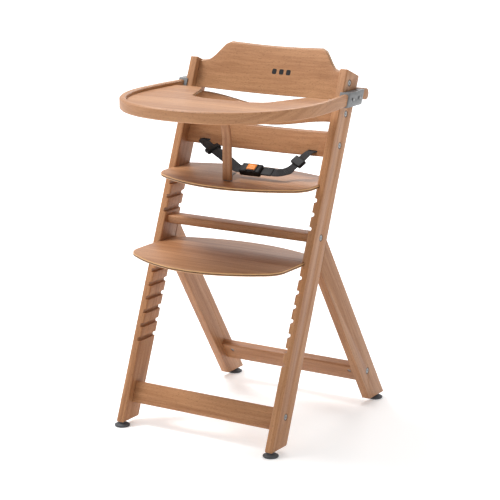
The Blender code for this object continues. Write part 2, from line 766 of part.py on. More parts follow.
def add_dowels(posts, legs, parts, wood):
    """A glued dowel below each bolt keeps the front and rear rails from turning."""
    low_front = Vector((0, post_y(RAIL_RISE, POST_RUN / 2), RAIL_RISE)) - UP * RAIL_WIDTH / 5
    low_rear = Vector((0, leg_y(REAR_RAIL_RISE, LEG_RUN / 2), REAR_RAIL_RISE)) - LEG_UP * RAIL_WIDTH / 5
    for side, label in SIDES.items():
        start = side * (INNER + 0.012)
        ends = (("front_rail", low_front, posts[side]), ("rear_rail", low_rear, legs[side]))
        for name, place, board in ends:
            at = (start, place.y, place.z)
            rod(f"{label}_{name}_dowel", at, (-side, 0, 0), DOWEL_LENGTH, DOWEL_D, 12, wood)
            bore = rod(
                f"{label}_{name}_dowel_bore", (start + side * 0.0005, place.y, place.z), (-side, 0, 0),
                DOWEL_LENGTH + 0.001, DOWEL_D + 2 * FIT, 12,
            )
            cut(board, bore)
            cut(parts[name], bore)


def add_harness_slots(slat):
    y = post_y(HARNESS_SLOT_Z, slat_back(LOWER, HARNESS_SLOT_X) + SLAT_RUN / 2)
    slots = [
        box("slot", (WEBBING + 0.003, 0.040, 0.0046), (side * HARNESS_SLOT_X, y, HARNESS_SLOT_Z))
        for side in SIDES
    ]
    cut(slat, joined("harness_slots", slots))


def parent_to(name, place, children):
    empty = bpy.data.objects.new(name, None)
    bpy.context.scene.collection.objects.link(empty)
    empty.location = place
    bpy.context.view_layer.update()
    for child in children:
        child.parent = empty
        child.matrix_parent_inverse = empty.matrix_world.inverted()


def add_tray(wood, ply, steel, plastic):
    rim = add_tray_rim(wood)
    panel = add_tray_panel(ply)
    wide = DIVIDER * 1.4
    divider = swept_strip(
        "tray_divider", divider_line(), lambda t: wide + 0.004 * max(0, (t - 0.55) / 0.45), DIVIDER, ply
    )
    rod_y, rod_z = rod_place()
    back_rod = rod("rear_rod", (-ARM_HALF, rod_y, rod_z), (1, 0, 0), 2 * ARM_HALF, ROD_D, 28, wood)
    moving = [rim, panel, divider, back_rod]
    bores = {"arm": [], "rod": [], "block": [], "top": []}
    screws = []
    for side, label in SIDES.items():
        bracket, spacer = add_bracket(side, steel), add_spacer(side, plastic)
        moving += [bracket, spacer]
        x = side * (ARM_HALF - RIM_THICK / 2)
        z = TRAY_TOP - 0.013
        start = Vector((x, post_y(z), z)) + BACK * (0.0020 + FIT - 0.0008 * cos(POST_LEAN))
        screws.append(add_screw(f"{label}_arm_screw", start, -BACK, 0.028, steel, shank_d=0.003))
        bores["arm"].append(screw_bore(start, -BACK, 0.028, 0.003))
        start = Vector((x, rod_y, rod_z)) - BACK * (ROD_D / 2 + FIT + STEEL + FIT + 0.0020)
        screws.append(add_screw(f"{label}_rod_screw", start, BACK, 0.022, steel))
        bores["rod"].append(screw_bore(start + BACK * 0.0024, BACK, 0.022))
        for place, back in (("front", 0.020), ("rear", POST_RUN - 0.017)):
            start = Vector((side * (ARM_HALF + 0.0012 + STEEL + FIT + 0.0020), post_y(z, back), z))
            inward = (-side, 0, 0)
            screws.append(add_screw(f"{label}_{place}_block_screw", start, inward, 0.014, steel))
            bores["block"].append(screw_bore(start - Vector((side * 0.0024, 0, 0)), inward, 0.014))
    for place, back in (("rear", 0.051), ("front", 0.066)):
        start = Vector((0, divider_y() - back, PANEL_TOP - TRAY_PANEL - FIT - DIVIDER - FIT - 0.0020))
        screws.append(add_screw(f"divider_{place}_screw", start, (0, 0, 1), 0.015, steel))
        bores["top"].append(screw_bore(start + Vector((0, 0, 0.0024)), (0, 0, 1), 0.013))
    arm = joined("arm_screw_bores", bores["arm"])
    rods = joined("rod_screw_bores", bores["rod"])
    block = joined("block_screw_bores", bores["block"])
    top = joined("divider_screw_bores", bores["top"])
    cut(rim, arm)
    cut(back_rod, rods)
    cut(panel, top)
    cut(divider, top)
    for label in SIDES.values():
        for cutter in (arm, rods, block):
            cut(bpy.data.objects[f"{label}_bracket"], cutter)
        cut(bpy.data.objects[f"{label}_spacer"], block)
    z = TRAY_TOP - 0.013
    parent_to("tray_runs", (0, post_y(z, POST_RUN / 2), z), moving + screws)


def main():
    clear_scene()
    wood = make_material("beech", BEECH, 0.5)
    ply = make_material("plywood", (0.66, 0.40, 0.23), 0.5)
    steel = make_material("steel", (0.32, 0.32, 0.33), 0.35, 1)
    glide = make_material("glide", (0.09, 0.09, 0.10), 0.6)
    plastic = make_material("black_plastic", (0.03, 0.03, 0.03), 0.4)
    button = make_material("button", (0.80, 0.25, 0.03), 0.4)
    webbing = make_material("webbing", (0.03, 0.03, 0.035), 0.9)
    add_frame(wood, ply, glide, steel)
    seat = add_plate("seat", SEAT_TOP, SEAT_DEPTH, SEAT_OVERHANG, 0.300, 0.060, ply)
    feet = add_plate("footrest", FOOTREST_TOP, FOOTREST_DEPTH, FOOTREST_OVERHANG, 0.260, 0.060, ply)
    parent_to("seat_runs", (0, post_y(SEAT_TOP), SEAT_TOP - PLATE / 2), [seat])
    parent_to("footrest_runs", (0, post_y(FOOTREST_TOP), FOOTREST_TOP - PLATE / 2), [feet])
    add_tray(wood, ply, steel, plastic)
    add_harness(webbing, plastic, button)


main()
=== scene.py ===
"""Looks of the wooden baby high chair: lacquered beech, plywood, steel, moulded plastic and webbing."""

import json
from math import atan2, cos, pi, radians, sin, tan

import bmesh
import bpy
from mathutils import Matrix, Vector


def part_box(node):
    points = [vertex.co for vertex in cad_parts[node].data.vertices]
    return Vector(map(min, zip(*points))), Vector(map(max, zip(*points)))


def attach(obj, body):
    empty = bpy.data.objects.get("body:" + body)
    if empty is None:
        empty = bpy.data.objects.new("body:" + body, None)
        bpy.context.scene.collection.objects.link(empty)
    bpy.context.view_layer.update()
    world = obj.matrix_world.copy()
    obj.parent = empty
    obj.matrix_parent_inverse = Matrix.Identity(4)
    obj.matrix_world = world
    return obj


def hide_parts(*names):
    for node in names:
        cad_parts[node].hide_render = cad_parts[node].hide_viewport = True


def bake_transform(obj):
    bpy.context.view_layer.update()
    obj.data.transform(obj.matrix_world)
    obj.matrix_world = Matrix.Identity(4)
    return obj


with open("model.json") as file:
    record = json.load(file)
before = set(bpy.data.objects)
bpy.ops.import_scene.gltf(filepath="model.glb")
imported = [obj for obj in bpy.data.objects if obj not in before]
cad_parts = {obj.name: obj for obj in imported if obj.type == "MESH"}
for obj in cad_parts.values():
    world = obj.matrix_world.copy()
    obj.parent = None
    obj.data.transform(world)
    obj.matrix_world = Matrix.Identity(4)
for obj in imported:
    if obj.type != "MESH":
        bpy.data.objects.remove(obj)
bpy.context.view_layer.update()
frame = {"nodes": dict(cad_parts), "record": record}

LEAN = radians(21.8)       # posts lean back
LEG_LEAN = radians(33.5)   # rear legs slope forward
UP = Vector((0, sin(LEAN), cos(LEAN)))
BACK = Vector((0, cos(LEAN), -sin(LEAN)))
RIDES = {node: body for body, nodes in frame["record"]["behaviour"]["bodies"].items() for node in nodes}
post_low, post_high = (Vector(corner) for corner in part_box("right_post"))
OUTER = post_high.x
INNER = post_low.x
SIDES = {-1: "left", 1: "right"}
SLAT_THICK = 0.012
SLAT_RUN = SLAT_THICK / cos(LEAN)  # a slat's thickness measured level
POST_WIDTH = 0.063
PLATE_THICK = 0.009
PANEL_THICK = 0.008
TOUCH = 0.0002             # how near to a face an edge has to be to lie on it
LAP_WIDTH, LAP_THICK = 0.025, 0.0017
BOLTED_TO_POST = ("front_rail", "shelf_rail", "upper_backrest", "middle_backrest", "lower_backrest")


# ---------------------------------------------------------------- finishes
class Wire:
    """A node's output. Arithmetic on it adds Math nodes."""

    def __init__(self, finish, socket):
        self.finish, self.socket = finish, socket

    def math(self, operation, *values):
        return self.finish.node("ShaderNodeMath", {"operation": operation}, dict(enumerate(values)))

    def __add__(self, other):
        return self.math("ADD", self, other)

    def __sub__(self, other):
        return self.math("SUBTRACT", self, other)

    def __rsub__(self, other):
        return self.math("SUBTRACT", other, self)

    def __mul__(self, other):
        return self.math("MULTIPLY", self, other)

    def __truediv__(self, other):
        return self.math("DIVIDE", self, other)

    __radd__ = __add__
    __rmul__ = __mul__

    def above(self, edge):
        return self.math("GREATER_THAN", self, edge)

    def fraction(self):
        return self.math("FRACT", self)

    def size(self):
        return self.math("ABSOLUTE", self)

    def wave(self):
        """A sine, from 0 to 1."""
        return self.math("SINE", self) * 0.5 + 0.5

    def eased(self, low, high):
        """0 below low, 1 above high, and smooth between them."""
        return self.finish.node(
            "ShaderNodeMapRange", {"interpolation_type": "SMOOTHSTEP"},
            {0: self, 1: low, 2: high, 3: 0.0, 4: 1.0},
        )


class Finish:
    """A material, its nodes added one call at a time."""

    def __init__(self, name, roughness=0.5, metallic=0.0, coat=0.0, sheen=0.0):
        self.material = bpy.data.materials.new(name)
        self.material.use_nodes = True
        self.tree = self.material.node_tree
        self.shader = self.tree.nodes["Principled BSDF"]
        for socket, value in (
            ("Roughness", roughness), ("Metallic", metallic), ("Coat Weight", coat), ("Sheen Weight", sheen),
        ):
            self.shader.inputs[socket].default_value = value

    def node(self, kind, settings=None, values=None, output=0):
        made = self.tree.nodes.new(kind)
        for setting, value in (settings or {}).items():
            setattr(made, setting, value)
        for socket, value in (values or {}).items():
            if isinstance(value, Wire):
                self.tree.links.new(value.socket, made.inputs[socket])
            else:
                made.inputs[socket].default_value = value
        return Wire(self, made.outputs[output])

    def here(self):
        return self.node("ShaderNodeTexCoord", output="Object")

    def facing(self, direction):
        """How squarely the surface faces a direction, from 0 to 1 and the same for its opposite."""
        normal = self.node("ShaderNodeTexCoord", output="Normal")
        return self.node(
            "ShaderNodeVectorMath", {"operation": "DOT_PRODUCT"}, {0: normal, 1: tuple(direction)}, "Value"
        ).size()

    def parts(self, vector):
        return [self.node("ShaderNodeSeparateXYZ", values={0: vector}, output=axis) for axis in "XYZ"]

    def map(self, vector, turn=(0, 0, 0), move=(0, 0, 0), scale=(1, 1, 1)):
        return self.node("ShaderNodeMapping", values={
            "Vector": vector, "Rotation": turn, "Location": move, "Scale": scale,
        })

    def grainy(self, vector, scale, detail=3.0, roughness=0.55, distortion=0.0):
        return self.node("ShaderNodeTexNoise", values={
            "Vector": vector, "Scale": scale, "Detail": detail, "Roughness": roughness,
            "Distortion": distortion,
        })

    def mix(self, amount, first, second):
        first, second = ((*c, 1) if isinstance(c, tuple) else c for c in (first, second))
        return self.node("ShaderNodeMix", {"data_type": "RGBA"}, {0: amount, 6: first, 7: second}, 2)

    def give(self, socket, value):
        if isinstance(value, Wire):
            self.tree.links.new(value.socket, self.shader.inputs[socket])
        else:
            self.shader.inputs[socket].default_value = value

    def relief(self, height, strength, depth):
        self.give("Normal", self.node("ShaderNodeBump", values={
            "Height": height, "Strength": strength, "Distance": depth,
        }))


def shaded(colour, *factors):
    """A colour times one factor, or times a factor for each channel."""
    return tuple(c * k for c, k in zip(colour, factors * 3 if len(factors) == 1 else factors))


PALE = (0.506, 0.257, 0.119)
DARK = (0.282, 0.114, 0.042)


def beech(name, along, seed, tone=1.0, plies=None, strip=False, mark=None):
    """Clear-lacquered beech, its grain along a direction: soft streaks, faint growth rings, short flecks.

    A strip's grain follows its UV map. plies draws a plywood edge, and mark says where the wood is dark:
    print on a slat, painted shade round bolt heads on the side frames.
    """
    finish = Finish(name, roughness=0.42, coat=0.08)
    finish.shader.inputs["Coat Roughness"].default_value = 0.35
    finish.shader.inputs["Specular IOR Level"].default_value = 0.36
    if strip:
        place, turn = finish.node("ShaderNodeTexCoord", output="UV"), (0, -pi / 2, 0)
    else:
        place, turn = finish.here(), Vector(along).rotation_difference(Vector((0, 0, 1))).to_euler("XYZ")
    wood = finish.map(place, tuple(turn), (0.37 * seed, 0.21 * seed, 0.53 * seed))
    drawn = finish.map(wood, scale=(1, 1, 0.045))
    broad = finish.grainy(drawn, 13, 2.5, 0.5, 0.35)
    streaks = finish.grainy(drawn, 150, 5, 0.62)
    rings = (broad * 46 + streaks * 1.5).wave()
    flecks = finish.grainy(finish.map(wood, scale=(1, 1, 0.13)), 1150, 1, 0.5).eased(0.60, 0.70)
    depth = broad.eased(0.30, 0.70) * 0.46 + streaks.eased(0.32, 0.68) * 0.40 + rings * 0.16
    light, dark = shaded(PALE, tone), shaded(DARK, tone)
    colour = finish.mix(depth, light, dark)
    colour = finish.mix(flecks * 0.55, colour, shaded(dark, 0.52))
    gloss = streaks * 0.14 + 0.42
    height = streaks * 0.6 + flecks * -0.5
    ends = finish.facing(along).eased(0.55, 0.85) if not strip else None
    if ends and not plies:
        pores = finish.grainy(finish.here(), 1400, 2, 0.6).eased(0.35, 0.7)
        colour = finish.mix(ends * 0.75, colour, finish.mix(pores, shaded(light, 0.80), dark))
    if plies:
        layer, cut = plies(finish)
        wobble = finish.grainy(finish.here(), 60, 2, 0.5) * 0.22
        band = (layer + wobble).fraction()
        dark_ply = band.eased(0.46, 0.52) * (1 - band.eased(0.94, 1.0))
        specks = finish.grainy(finish.here(), 700, 2, 0.6).eased(0.35, 0.7)
        core = finish.mix(specks, shaded(dark, 0.28), shaded(dark, 0.5))
        edge = finish.mix(dark_ply, shaded(light, 1.22, 1.36, 1.30), core)
        colour = finish.mix(cut, colour, edge)
        gloss = gloss + cut * 0.12
    if mark:
        colour = finish.mix(mark(finish), colour, (0.008, 0.007, 0.007))
    finish.give("Base Color", colour)
    finish.give("Roughness", gloss)
    finish.relief(height, 0.35, 0.00012)
    return finish.material


def flat_plies(bottom, thickness, count=5):
    """Plies of a flat board, which show where it is cut."""
    def plies(finish):
        z = finish.parts(finish.here())[2]
        return (z - bottom) / (2 * thickness / count), 1 - finish.facing((0, 0, 1)).eased(0.45, 0.62)
    return plies


def bent_plies(front, bow, thickness, count=5):
    """Plies of a bent slat: front is its face behind the posts' front edge at its ends."""
    def plies(finish):
        x, y, z = finish.parts(finish.here())
        across = x / INNER
        behind = y - z * tan(LEAN) - (post_front(0) + front + bow) + across * across * bow
        return behind / (2 * thickness / count), 1 - finish.facing(BACK).eased(0.45, 0.62)
    return plies


def post_front(z):
    """y of the posts' front edge at a height."""
    return post_low.y + (z - post_low.z) * tan(LEAN)


def printed_dots(finish):
    """Three small printed squares with rounded corners, right of the middle of the top slat."""
    x, y, z = finish.parts(finish.here())
    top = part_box("upper_backrest")[1][2]
    found = None
    for i in range(3):
        across = ((x - (0.006 + 0.020 * i)) / 0.0064).size()
        up = ((z - (top - 0.062)) / 0.0064).size()
        a, b = across * across, up * up
        square = 1 - (a * a + b * b).eased(0.85, 1.1)
        found = square if found is None else found + square
    behind = (y - z * tan(LEAN) - post_front(0)).above(0.038)
    return found * finish.facing(BACK).eased(0.6, 0.8) * (1 - behind)


def dark_rings(nodes):
    """Colour only: a dark ring on the flat wood round each bolt head, in place of a recess's shade."""
    def mark(finish):
        _, y, z = finish.parts(finish.here())
        found = None
        for node in nodes:
            low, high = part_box(node)
            a, b = (y - (low[1] + high[1]) / 2) / 0.0084, (z - (low[2] + high[2]) / 2) / 0.0084
            spot = 1 - (a * a + b * b).eased(0.85, 1.25)
            found = spot if found is None else found + spot
        return found * finish.facing((1, 0, 0)).eased(0.6, 0.8) * 0.8
    return mark


def powder_coat():
    finish = Finish("bracket_grey", roughness=0.42, metallic=0.2)
    spots = finish.grainy(finish.here(), 900, 2, 0.5)
    broad = finish.grainy(finish.here(), 40, 2, 0.5)
    finish.give("Base Color", finish.mix(broad.eased(0.3, 0.7), (0.165, 0.167, 0.170), (0.215, 0.217, 0.220)))
    finish.give("Roughness", spots * 0.16 + 0.34)
    finish.relief(spots, 0.4, 0.00008)
    return finish.material


def zinc():
    finish = Finish("zinc_plate", roughness=0.3, metallic=1.0)
    spots = finish.grainy(finish.here(), 500, 3, 0.6)
    finish.give("Base Color", finish.mix(spots.eased(0.3, 0.75), (0.34, 0.34, 0.335), (0.20, 0.20, 0.20)))
    finish.give("Roughness", spots * 0.25 + 0.22)
    finish.relief(spots, 0.25, 0.00005)
    return finish.material


def moulded(name, colour, roughness=0.42, grain=1400, depth=0.00006):
    """Moulded plastic with a fine eroded grain."""
    finish = Finish(name, roughness=roughness)
    finish.shader.inputs["Specular IOR Level"].default_value = 0.22
    grains = finish.grainy(finish.here(), grain, 2, 0.55)
    worn = finish.grainy(finish.here(), 55, 3, 0.6)
    scuffed = tuple(c * 0.8 + 0.004 for c in colour)
    finish.give("Base Color", finish.mix(worn.eased(0.35, 0.75), colour, scuffed))
    finish.give("Roughness", grains * 0.14 + (roughness - 0.06))
    finish.relief(grains, 0.4, depth)
    return finish.material


def woven(name, colour, light, rows=2.4):
    """Flat webbing: a herringbone of fine warps, with a tight selvedge. U is across it, V along it."""
    finish = Finish(name, roughness=0.82, sheen=0.08)
    u, v, _ = finish.parts(finish.node("ShaderNodeTexCoord", output="UV"))
    zigzag = ((v * rows).fraction() - 0.5).size() * 2
    chevron = ((u * 4).fraction() - 0.5).size() * 2
    threads = (u * 150).wave()
    picks = (v * 90 * pi + chevron * 3.2).wave()
    twill = ((u * 26 + v * 60) + chevron * 5).wave()
    selvedge = ((u - 0.5).size() * 2).eased(0.86, 0.90)
    cloth = threads * 0.30 + picks * 0.45 + twill * 0.25
    dust = finish.grainy(finish.here(), 300, 3, 0.6).eased(0.45, 0.8)
    shade = finish.mix(cloth * 0.75 + zigzag * 0.08, colour, light)
    shade = finish.mix(selvedge * 0.45, shade, shaded(colour, 0.6))
    shade = finish.mix(dust * 0.18, shade, shaded(light, 1.8))
    finish.give("Base Color", shade)
    finish.give("Roughness", cloth * -0.12 + 0.88)
    finish.relief(cloth + selvedge * 0.35, 0.75, 0.00035)
    return finish.material


# ---------------------------------------------------------------- modelling
def bare():
    """Nothing selected and no object in edit mode."""
    if bpy.context.object and bpy.context.object.mode != "OBJECT":
        bpy.ops.object.mode_set(mode="OBJECT")
    bpy.ops.object.select_all(action="DESELECT")


def pick(obj):
    bare()
    obj.select_set(True)
    bpy.context.view_layer.objects.active = obj


def select_edges(obj, wanted):
    """In edit mode, selects only the edges that wanted(edge) accepts."""
    bpy.ops.mesh.select_all(action="DESELECT")
    bpy.ops.mesh.select_mode(type="EDGE")
    mesh = bmesh.from_edit_mesh(obj.data)
    for edge in mesh.edges:
        edge.select = bool(wanted(edge))
    bmesh.update_edit_mesh(obj.data)


def sharp(edge):
    return len(edge.link_faces) == 2 and edge.calc_face_angle(0) > radians(30)


def refined(node, rounds, smooth=38):
    """A copy of a CAD node, its faces whole again and its edges rounded by each (width, segments, wanted)."""
    bare()
    source = frame["nodes"][node]
    piece = bpy.data.objects.new(f"{node}_finished", source.data.copy())
    bpy.context.scene.collection.objects.link(piece)
    pick(piece)
    bpy.ops.mesh.customdata_custom_splitnormals_clear()
    bpy.ops.object.mode_set(mode="EDIT")
    bpy.ops.mesh.select_all(action="SELECT")
    bpy.ops.mesh.remove_doubles(threshold=0.00002)
    bpy.ops.mesh.dissolve_limited(angle_limit=radians(0.06))
    for width, segments, wanted in rounds:
        select_edges(piece, lambda edge: sharp(edge) and wanted(edge))
        if any(edge.select for edge in bmesh.from_edit_mesh(piece.data).edges):
            bpy.ops.mesh.bevel(
                offset=width, segments=segments, profile=0.5, affect="EDGES", clamp_overlap=True
            )
    bpy.ops.object.mode_set(mode="OBJECT")
    bpy.ops.object.shade_smooth_by_angle(angle=radians(smooth))
    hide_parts(node)
    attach(piece, RIDES[node])
    return piece


def dress(piece, material):
    """Gives a piece one finish all over."""
    piece.data.materials.clear()
    piece.data.materials.append(material)
    for polygon in piece.data.polygons:
        polygon.material_index = 0
    return piece


def dress_node(node, material):
    """Gives a CAD node another finish in its own slots."""
    for held in frame["nodes"][node].material_slots:
        held.material = material


def middle(edge):
    return (edge.verts[0].co + edge.verts[1].co) / 2


def runs_along(edge, direction, least=0.97):
    along = edge.verts[1].co - edge.verts[0].co
    return along.length > 0 and abs(along.normalized().dot(direction)) > least


def anywhere(edge):
    return True


# ---------------------------------------------------------------- side frames
def on_side(vertex, x):
    return abs(abs(vertex.co.x) - x) < TOUCH


def make_posts():
    for seed, (side, label) in enumerate(SIDES.items()):
        top = post_high.z

        def long_edge(edge):
            on_post = all(on_side(v, OUTER) or on_side(v, INNER) for v in edge.verts)
            crown = all(v.co.z > top - 0.027 for v in edge.verts)
            foot = all(v.co.z < post_low.z + 0.001 for v in edge.verts)
            return on_post and edge.calc_length() > 0.008 and (runs_along(edge, UP) or crown or foot)

        def slot_edge(edge):
            return abs(abs(middle(edge).x) - INNER) < TOUCH and runs_along(edge, Vector((0, 1, 0)))

        def bore_edge(edge):
            return all(on_side(v, OUTER) for v in edge.verts) and edge.calc_length() < 0.004

        rounds = [(0.0030, 4, long_edge), (0.0009, 2, slot_edge), (0.0005, 2, bore_edge)]
        post = refined(f"{label}_post", rounds)
        # painted shade: a dark ring round each bolt head stands for the shade of a recess
        head_shade = dark_rings([f"{label}_{node}_bolt" for node in BOLTED_TO_POST])
        dress(post, beech(f"beech_{label}_post", UP, 1 + seed, 1.0 + 0.02 * seed, mark=head_shade))
        along = Vector((0, -sin(LEG_LEAN), cos(LEG_LEAN)))
        leg_low, leg_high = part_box(f"{label}_rear_leg")

        def off_the_joint(edge):
            behind = min(v.co.y - v.co.z * tan(LEAN) for v in edge.verts)
            joint = post_front(0) + POST_WIDTH / cos(LEAN) + 0.001
            both = all(v.co.y - v.co.z * tan(LEAN) < joint for v in edge.verts)
            return not both and edge.calc_length() > 0.008 and behind > 0

        def bore_mouth(edge):
            return abs(abs(middle(edge).x) - OUTER) < TOUCH and edge.calc_length() < 0.004

        leg = refined(f"{label}_rear_leg", [
            (0.0030, 4, lambda edge: runs_along(edge, along) or middle(edge).z < leg_low[2] + 0.002),
            (0.0005, 2, bore_mouth),
        ])
        # painted shade: a dark ring round the bolt head stands for the shade of a recess
        head_shade = dark_rings([f"{label}_rear_rail_bolt"])
        dress(leg, beech(f"beech_{label}_rear_leg", along, 4 + seed, 0.97, mark=head_shade))
    grip = moulded("glide_grey", (0.085, 0.088, 0.095), 0.55)
    for label in SIDES.values():
        for end in ("front", "rear"):
            dress(refined(f"{label}_{end}_glide", [(0.0004, 2, anywhere)]), grip)


def make_rails():
    across = (1, 0, 0)
    for seed, (node, tone) in enumerate((("front_rail", 1.03), ("rear_rail", 0.98), ("shelf_rail", 1.02))):
        rail = refined(node, [], smooth=50)
        dress(rail, beech(f"beech_{node}", across, 7 + seed, tone))
    slats = (
        ("upper_backrest", 0.017, 0.017), ("middle_backrest", 0.030, 0.014), ("lower_backrest", 0.030, 0.014),
    )
    for seed, (node, front, bow) in enumerate(slats):
        def soft(edge):
            clear_of_posts = max(abs(v.co.x) for v in edge.verts) < INNER - 0.002
            return clear_of_posts or runs_along(edge, Vector((1, 0, 0)), 0.9)
        slat = refined(node, [(0.0009, 2, soft)], smooth=40)
        plies = bent_plies(front, bow, SLAT_RUN)
        mark = printed_dots if node == "upper_backrest" else None
        dress(slat, beech(f"plywood_{node}", across, 11 + seed, 0.985, plies, mark=mark))


def make_barrel_nuts(plated):
    """Slotted barrel nuts sunk in the rails, where the bolts from the side frames end."""
    faces = {
        "front_rail": BACK, "rear_rail": Vector((0, -cos(LEG_LEAN), -sin(LEG_LEAN))),
        "shelf_rail": Vector((0, 0, -1)),
    }
    for rail, out in faces.items():
        for side, label in SIDES.items():
            low, high = (Vector(corner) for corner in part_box(f"{label}_{rail}_bolt"))
            bolt = (low + high) / 2
            mouth = Vector((side * (INNER - 0.027), bolt.y, bolt.z)) + out * 0.010
            turn = out.to_track_quat("Z", "Y").to_matrix().to_4x4()
            bare()
            bpy.ops.mesh.primitive_cylinder_add(vertices=32, radius=0.0050, depth=0.012)
            drill = bpy.context.object
            drill.data.transform(Matrix.Translation(mouth) @ turn)
            combine(bpy.data.objects[f"{rail}_finished"], drill, "DIFFERENCE")
            bare()
            bpy.ops.mesh.primitive_cylinder_add(vertices=32, radius=0.0047, depth=0.0046)
            nut = bpy.context.object
            nut.name = f"{label}_{rail}_nut"
            nut.data.transform(Matrix.Translation((0, 0, -0.0032)))
            round_off(nut, 0.0005, 2, lambda edge: middle(edge).z > -0.002)
            groove = box_block("groove", (0, 0, -0.0008), (0.0120, 0.0012, 0.0020))
            combine(nut, groove, "DIFFERENCE")
            nut.data.transform(Matrix.Translation(mouth) @ turn)
            smoothed(nut, 35)
            dress(nut, plated)
            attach(nut, "frame")
        smoothed(bpy.data.objects[f"{rail}_finished"], 50)


# ---------------------------------------------------------------- seat and footrest
def make_plates():
    for seed, node in enumerate(("seat", "footrest")):
        low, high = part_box(node)
        plate = refined(node, [(0.0006, 2, anywhere)], smooth=45)
        if node == "seat":
            cut_strap_slot(plate, high[2])
        plies = flat_plies(low[2], PLATE_THICK, 3)
        dress(plate, beech(f"plywood_{node}", (1, 0, 0), 15 + seed, 0.97, plies))


def cut_strap_slot(plate, top):
    """The rounded slot in the seat that the crotch strap comes up through."""
    place = strap_slot()
    bare()
    at = (place.x, place.y, top - 0.004)
    bpy.ops.mesh.primitive_cube_add(size=1, location=at, scale=(0.028, 0.0055, 0.03))
    tool = bpy.context.object
    bpy.ops.object.transform_apply(location=True, rotation=True, scale=True)
    bpy.ops.object.mode_set(mode="EDIT")
    select_edges(tool, lambda edge: runs_along(edge, Vector((0, 0, 1))))
    bpy.ops.mesh.bevel(offset=0.0026, segments=4, affect="EDGES")
    bpy.ops.object.mode_set(mode="OBJECT")
    smoothed(combine(plate, tool, "DIFFERENCE"), 40)


def strap_slot():
    low, high = (Vector(corner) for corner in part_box("crotch_strap"))
    return Vector((-0.004, low.y + 0.0005, low.z))


# ---------------------------------------------------------------- tray
def make_tray():
    rim = refined("tray_rim", [(0.0011, 3, anywhere)], smooth=45)
    wrap_round(rim)
    dress(rim, beech("beech_tray_rim", (0, 0, 1), 18, 0.97, strip=True))
    low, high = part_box("tray_panel")
    panel = refined("tray_panel", [(0.0016, 3, lambda edge: middle(edge).y > low[1] + 0.14)], smooth=45)
    dress(panel, beech("plywood_tray_panel", (1, 0, 0), 19, 0.95, flat_plies(low[2], PANEL_THICK)))
    divider = refined("tray_divider", [(0.0022, 3, lambda edge: edge.calc_length() > 0.002)], smooth=40)
    dress(divider, beech("beech_tray_divider", (0, 0, 1), 20, 0.98))
    rod = refined("rear_rod", [(0.0015, 3, lambda edge: abs(middle(edge).x) > 0.23)], smooth=40)
    dress(rod, beech("beech_rear_rod", (1, 0, 0), 21, 0.98))
    grey, black = powder_coat(), moulded("block_black", (0.013, 0.013, 0.014), 0.55)
    for label in SIDES.values():
        bracket = refined(f"{label}_bracket", [(0.0004, 2, anywhere)], smooth=40)
        dress(bracket, grey)
        dress(refined(f"{label}_spacer", [(0.0006, 2, anywhere)], smooth=40), black)


def wrap_round(rim):
    """Unwraps the rim so that its grain follows the bend: u is the way round, v the way through it."""
    low, high = (Vector(corner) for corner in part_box("tray_rim"))
    centre = Vector((0, high.y - 0.135))
    if not rim.data.uv_layers:
        rim.data.uv_layers.new(name="round")
    layer = rim.data.uv_layers[0].data
    for loop in rim.data.loops:
        co = rim.data.vertices[loop.vertex_index].co
        angle = atan2(co.x, -(co.y - centre.y))
        reach = Vector((co.x, co.y)).length
        layer[loop.index].uv = (angle * 0.25, reach + co.z * 0.8)


# ---------------------------------------------------------------- fixings
def make_fixings():
    plated = zinc()
    make_barrel_nuts(plated)
    for node in frame["nodes"]:
        if node.endswith("_bolt") or node.endswith("_screw"):
            dress(refined(node, [(0.0003, 2, anywhere)], smooth=35), plated)
        elif node.endswith("_dowel"):
            dress_node(node, beech(f"beech_{node}", (1, 0, 0), 30, 0.97))


# ---------------------------------------------------------------- harness
def smooth_line(points, between=10):
    """A Catmull-Rom curve through tuples of any length."""
    made = []
    last = len(points) - 1
    for i in range(last):
        p0, p1, p2, p3 = (points[min(max(j, 0), last)] for j in (i - 1, i, i + 1, i + 2))
        for step in range(between):
            t = step / between
            made.append(tuple(
                0.5 * (2 * b + (c - a) * t + (2 * a - 5 * b + 4 * c - d) * t * t
                       + (3 * b - a - 3 * c + d) * t ** 3)
                for a, b, c, d in zip(p0, p1, p2, p3)
            ))
    made.append(points[-1])
    return made


def webbing(name, points, width, thick, material):
    """A woven strap along (x, y, z, tilt), slightly dished, with rounded edges and a UV map along it."""
    line = smooth_line(points)
    around = [
        (-1, 0.0), (-0.97, 0.7), (-0.86, 1.0), (-0.4, 0.86), (0, 0.82), (0.4, 0.86), (0.86, 1.0), (0.97, 0.7),
    ]
    around += [(1, 0.0)] + [(a, -b) for a, b in reversed(around[1:])]
    mesh = bmesh.new()
    uv = mesh.loops.layers.uv.new("along")
    rings, marks = [], []
    run = 0.0
    for i, (x, y, z, tilt) in enumerate(line):
        before, after = line[max(i - 1, 0)], line[min(i + 1, len(line) - 1)]
        along = (Vector(after[:3]) - Vector(before[:3])).normalized()
        level = along.cross(Vector((0, 0, 1))).normalized()
        across = level * cos(tilt) + along.cross(level) * sin(tilt)
        out = along.cross(across).normalized()
        here = Vector((x, y, z))
        run += (here - Vector(line[i - 1][:3])).length if i else 0
        wide, deep = across * width / 2, out * thick / 2
        rings.append([mesh.verts.new(here + wide * a + deep * b) for a, b in around])
        marks.append(run / width)
    count = len(around)
    for i in range(len(rings) - 1):
        for j in range(count):
            k = (j + 1) % count
            face = mesh.faces.new((rings[i][j], rings[i][k], rings[i + 1][k], rings[i + 1][j]))
            corners = ((j, i), (k, i), (k, i + 1), (j, i + 1))
            for loop, (a, b) in zip(face.loops, corners):
                loop[uv].uv = (around[a][0] / 2 + 0.5, marks[b])
    mesh.faces.new(list(reversed(rings[0])))
    mesh.faces.new(rings[-1])
    bmesh.ops.recalc_face_normals(mesh, faces=mesh.faces)
    data = bpy.data.meshes.new(name)
    mesh.to_mesh(data)
    mesh.free()
    piece = bpy.data.objects.new(name, data)
    bpy.context.scene.collection.objects.link(piece)
    return dress(smoothed(piece, 50), material)


